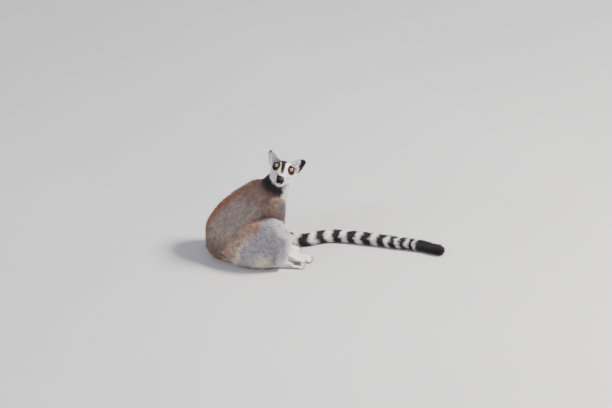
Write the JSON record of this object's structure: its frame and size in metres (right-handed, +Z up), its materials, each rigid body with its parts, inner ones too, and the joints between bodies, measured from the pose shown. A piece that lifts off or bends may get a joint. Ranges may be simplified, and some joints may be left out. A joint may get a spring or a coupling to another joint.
{
  "type": "ring-tailed lemur model",
  "caption": "Life-size ring-tailed lemur sitting with drawn-up knees, head turned to its right, long ringed tail laid along the ground.",
  "frame": {"origin": "middle of the flat under the rump, at ground level", "axes": "+X along the laid tail, +Z up, the face looks towards -Y"},
  "size_m": [0.5745, 0.224, 0.2954],
  "materials": {
    "eye": "clear glassy eye with an amber iris",
    "nose": "black damp skin",
    "face_fur": "short soft fur",
    "body_fur": "dense woolly fur",
    "limb_fur": "short dense fur",
    "paw_fur": "very short fur",
    "tail_fur": "long ringed fur"
  },
  "bodies": {
    "root": {"belly": "body_fur", "chest": "body_fur", "ear_left": "face_fur", "ear_right": "face_fur", "eye_left": "eye", "eye_right": "eye", "foot_left": "paw_fur", "foot_right": "paw_fur", "forearm_left": "limb_fur", "forearm_right": "limb_fur", "hand_left": "paw_fur", "hand_right": "paw_fur", "head": "face_fur", "lower_jaw": "face_fur", "neck": "body_fur", "nose": "nose", "rump": "body_fur", "shank_left": "limb_fur", "shank_right": "limb_fur", "tail_1": "tail_fur", "tail_2": "tail_fur", "tail_3": "tail_fur", "tail_4": "tail_fur", "tail_5": "tail_fur", "tail_6": "tail_fur", "tail_7": "tail_fur", "thigh_left": "limb_fur", "thigh_right": "limb_fur", "upper_arm_left": "limb_fur", "upper_arm_right": "limb_fur"}
  },
  "joints": []
}
